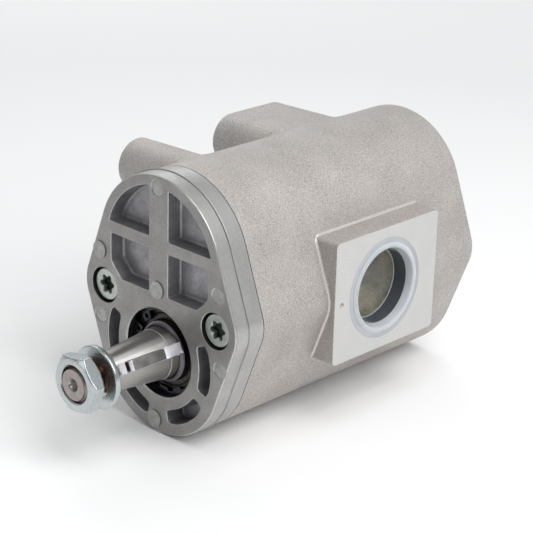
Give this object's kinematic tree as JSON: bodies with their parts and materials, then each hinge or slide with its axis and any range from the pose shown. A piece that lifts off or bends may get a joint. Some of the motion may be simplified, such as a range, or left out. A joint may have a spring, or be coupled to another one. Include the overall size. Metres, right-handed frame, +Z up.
{
  "type": "hydraulic gear pump",
  "caption": "Hydraulic gear pump with a ribbed front cover, blind cast body, square inlet pad, side bosses and a keyed tapered drive shaft with nut and washer.",
  "frame": {"origin": "front cover's mounting face, midway between the two cover screws", "axes": "+Y along the drive shaft from the cover to the rear of the body, +X towards the inlet pad, +Z up from the drive shaft to the driven gear"},
  "size_m": [0.0939, 0.1809, 0.104],
  "materials": {
    "cast_cover": "die-cast, fine grain",
    "cast_body": "shot-blasted casting",
    "ground_steel": "ground",
    "bearing_aluminium": "machined",
    "bearing_bronze": "sintered bearing metal",
    "nitrile_rubber": "matt",
    "black_steel": "phosphated black",
    "zinc_steel": "bright zinc plate",
    "natural_plastic": "translucent moulding"
  },
  "bodies": {
    "housing": {"front_cover": "cast_cover", "pump_body": "cast_body", "front_bearing_block": "bearing_aluminium", "rear_bearing_block": "bearing_aluminium", "front_drive_bush": "bearing_bronze", "front_driven_bush": "bearing_bronze", "rear_drive_bush": "bearing_bronze", "rear_driven_bush": "bearing_bronze", "front_pressure_seal": "nitrile_rubber", "rear_pressure_seal": "nitrile_rubber", "body_o_ring": "nitrile_rubber", "outer_seal_case": "black_steel", "outer_seal_lip": "nitrile_rubber", "outer_seal_spring": "ground_steel", "inner_seal_case": "black_steel", "inner_seal_lip": "nitrile_rubber", "inner_seal_spring": "ground_steel", "retaining_ring": "black_steel", "cover_screw_left": "zinc_steel", "cover_screw_right": "zinc_steel", "dowel_pin_upper": "ground_steel", "dowel_pin_lower": "ground_steel", "inlet_port_plug": "natural_plastic", "outlet_port_plug": "natural_plastic"},
    "drive_train": {"drive_shaft": "ground_steel", "shaft_key": "ground_steel", "shaft_nut": "zinc_steel", "plain_washer": "zinc_steel"},
    "idler": {"driven_gear": "ground_steel"}
  },
  "joints": [
    {"name": "drive_shaft_turn", "type": "hinge", "parent": "housing", "child": "drive_train", "pos_m": [0, 0, -0.01875], "axis": [0, 1, 0], "continuous": true},
    {"name": "driven_gear_turn", "type": "hinge", "parent": "housing", "child": "idler", "pos_m": [0, 0, 0.01875], "axis": [0, 1, 0], "continuous": true}
  ],
  "couplings": [
    {"joint": "driven_gear_turn", "follows": "drive_shaft_turn", "ratio": -1}
  ]
}
